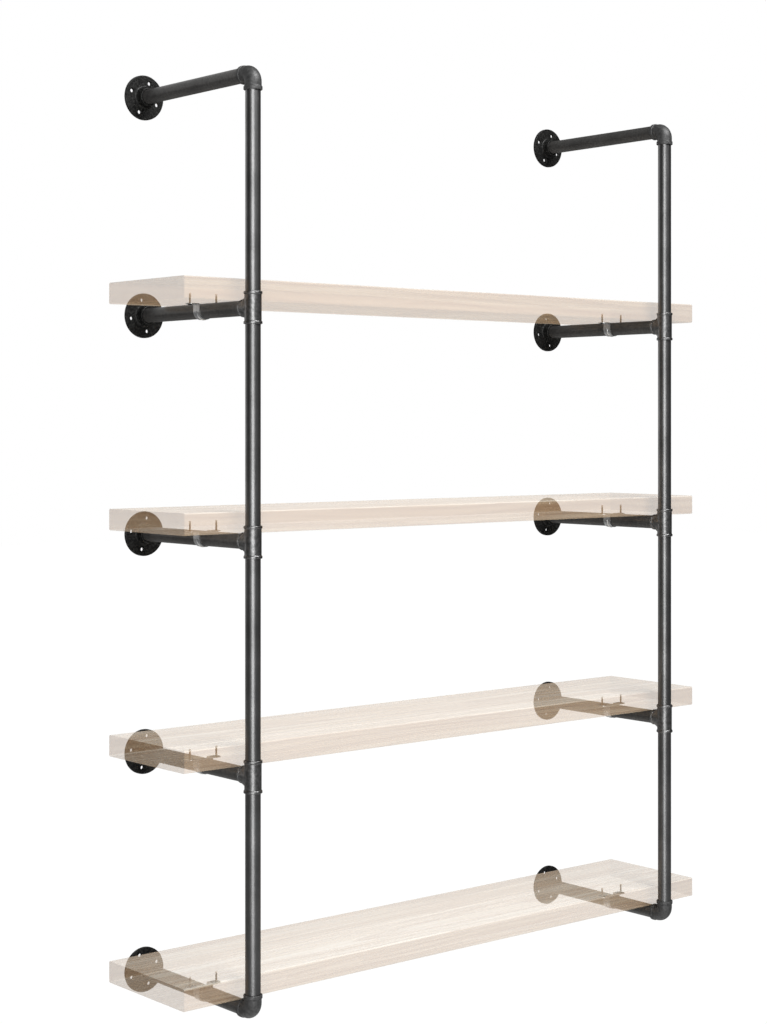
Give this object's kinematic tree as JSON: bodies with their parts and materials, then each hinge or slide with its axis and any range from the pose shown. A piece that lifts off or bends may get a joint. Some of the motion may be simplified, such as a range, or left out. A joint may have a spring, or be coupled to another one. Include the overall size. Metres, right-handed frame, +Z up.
{
  "type": "pipe wall shelf",
  "caption": "Wall shelf with long wooden boards strapped on two ladders of black threaded pipe, each held to the wall by round flanges.",
  "frame": {"origin": "on the wall plane, midway between the two ladders, at the height of the axis of the lowest arms", "axes": "+X along the boards to the right as seen from the room, +Y into the wall, +Z up"},
  "size_m": [1.28, 0.3563, 1.682],
  "materials": {
    "upright_pipe": "satin black coat, bright long highlight",
    "arm_pipe": "satin dark grey coat",
    "fitting_iron": "black coated malleable iron, lightly cast surface",
    "flange_iron": "black coated malleable iron, rough cast surface",
    "strap_zinc": "bright zinc plate",
    "screw_steel": "black phosphate",
    "board_wood": null
  },
  "bodies": {
    "root": {"left_wall_flange_1": "flange_iron", "left_wall_flange_2": "flange_iron", "left_wall_flange_3": "flange_iron", "left_wall_flange_4": "flange_iron", "left_wall_flange_5": "flange_iron", "left_arm_1": "arm_pipe", "left_arm_2": "arm_pipe", "left_arm_3": "arm_pipe", "left_arm_4": "arm_pipe", "left_arm_5": "arm_pipe", "left_upright_1": "upright_pipe", "left_upright_2": "upright_pipe", "left_upright_3": "upright_pipe", "left_upright_4": "upright_pipe", "left_tee_2": "fitting_iron", "left_tee_3": "fitting_iron", "left_tee_4": "fitting_iron", "left_bottom_elbow": "fitting_iron", "left_top_elbow": "fitting_iron", "left_pipe_strap_1": "strap_zinc", "left_pipe_strap_2": "strap_zinc", "left_pipe_strap_3": "strap_zinc", "left_pipe_strap_4": "strap_zinc", "right_wall_flange_1": "flange_iron", "right_wall_flange_2": "flange_iron", "right_wall_flange_3": "flange_iron", "right_wall_flange_4": "flange_iron", "right_wall_flange_5": "flange_iron", "right_arm_1": "arm_pipe", "right_arm_2": "arm_pipe", "right_arm_3": "arm_pipe", "right_arm_4": "arm_pipe", "right_arm_5": "arm_pipe", "right_upright_1": "upright_pipe", "right_upright_2": "upright_pipe", "right_upright_3": "upright_pipe", "right_upright_4": "upright_pipe", "right_tee_2": "fitting_iron", "right_tee_3": "fitting_iron", "right_tee_4": "fitting_iron", "right_bottom_elbow": "fitting_iron", "right_top_elbow": "fitting_iron", "right_pipe_strap_1": "strap_zinc", "right_pipe_strap_2": "strap_zinc", "right_pipe_strap_3": "strap_zinc", "right_pipe_strap_4": "strap_zinc", "shelf_board_1": "board_wood", "shelf_board_2": "board_wood", "shelf_board_3": "board_wood", "shelf_board_4": "board_wood", "board_1_strap_screws": "screw_steel", "board_2_strap_screws": "screw_steel", "board_3_strap_screws": "screw_steel", "board_4_strap_screws": "screw_steel"}
  },
  "joints": []
}
